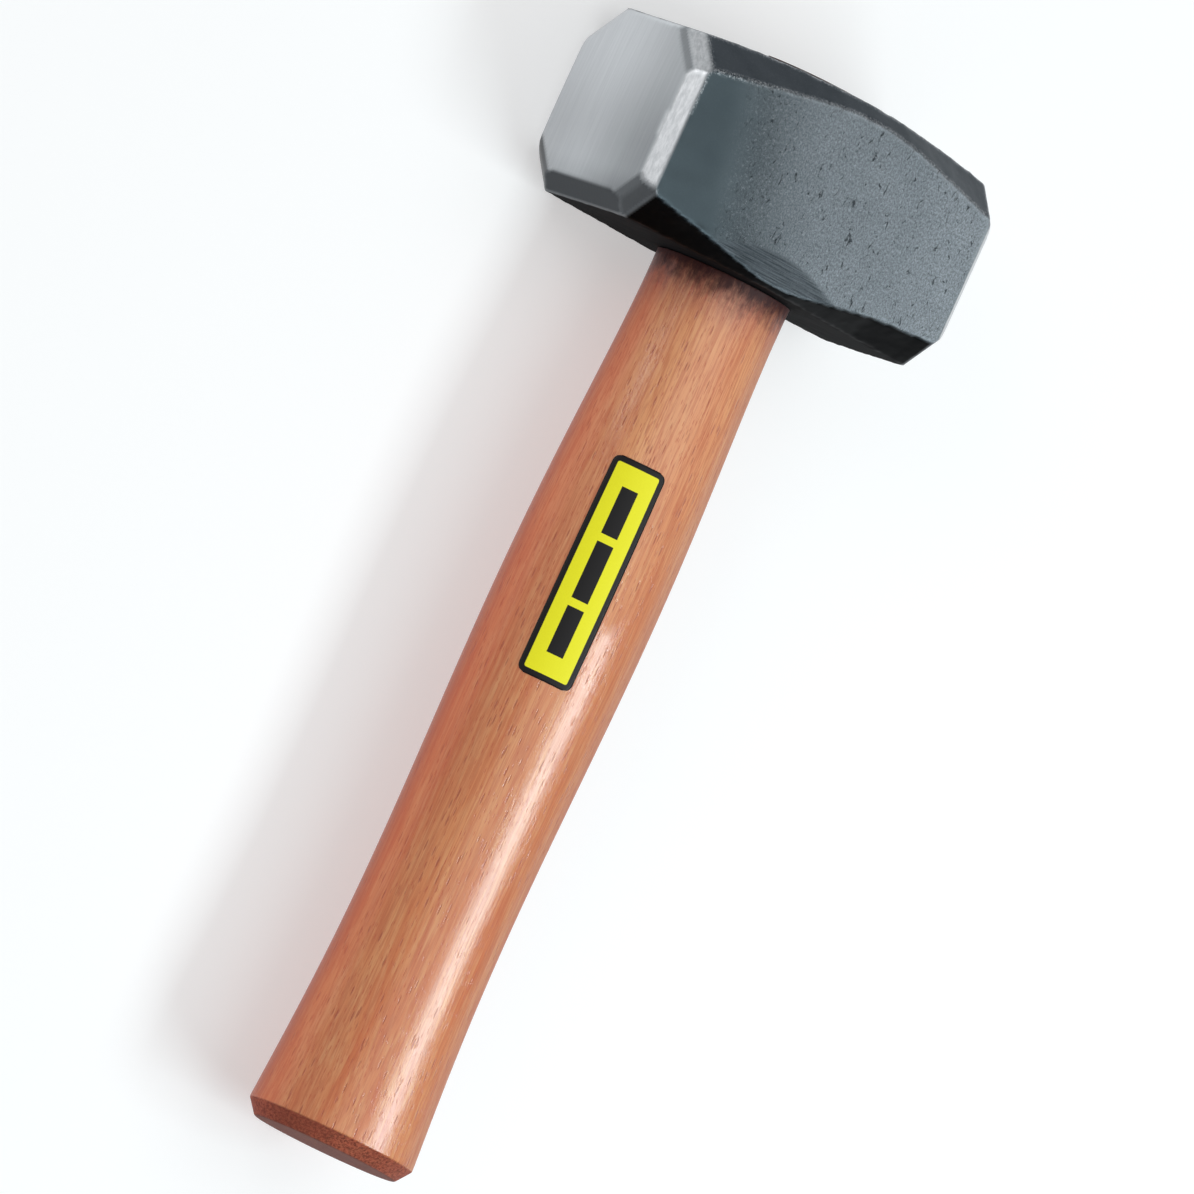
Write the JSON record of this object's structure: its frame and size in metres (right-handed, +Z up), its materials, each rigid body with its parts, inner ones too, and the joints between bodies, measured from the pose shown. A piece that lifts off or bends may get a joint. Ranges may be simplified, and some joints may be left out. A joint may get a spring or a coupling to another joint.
{
  "type": "sledgehammer",
  "caption": "Short-handled sledgehammer with a bevelled, arched steel head wedged on an oval varnished hardwood handle.",
  "frame": {"origin": "centre of the lower cheek of the head, on the surface that the hammer lies on", "axes": "+X along the head to its rear face, -Y down the handle, +Z up, square to the cheeks"},
  "size_m": [0.0984, 0.2656, 0.045],
  "materials": {
    "forged_steel": "forged, ground and oiled; brushed bare steel on the striking faces",
    "varnished_hardwood": "open-pored reddish hardwood under clear gloss varnish",
    "wedge_hardwood": "bare sawn hardwood",
    "wedge_steel": "dull mild steel, hammered flush",
    "label_film": "printed film, satin"
  },
  "bodies": {
    "root": {"head": "forged_steel", "handle": "varnished_hardwood", "wooden_wedge": "wedge_hardwood", "steel_wedge_front": "wedge_steel", "steel_wedge_rear": "wedge_steel", "label": "label_film"}
  },
  "joints": []
}
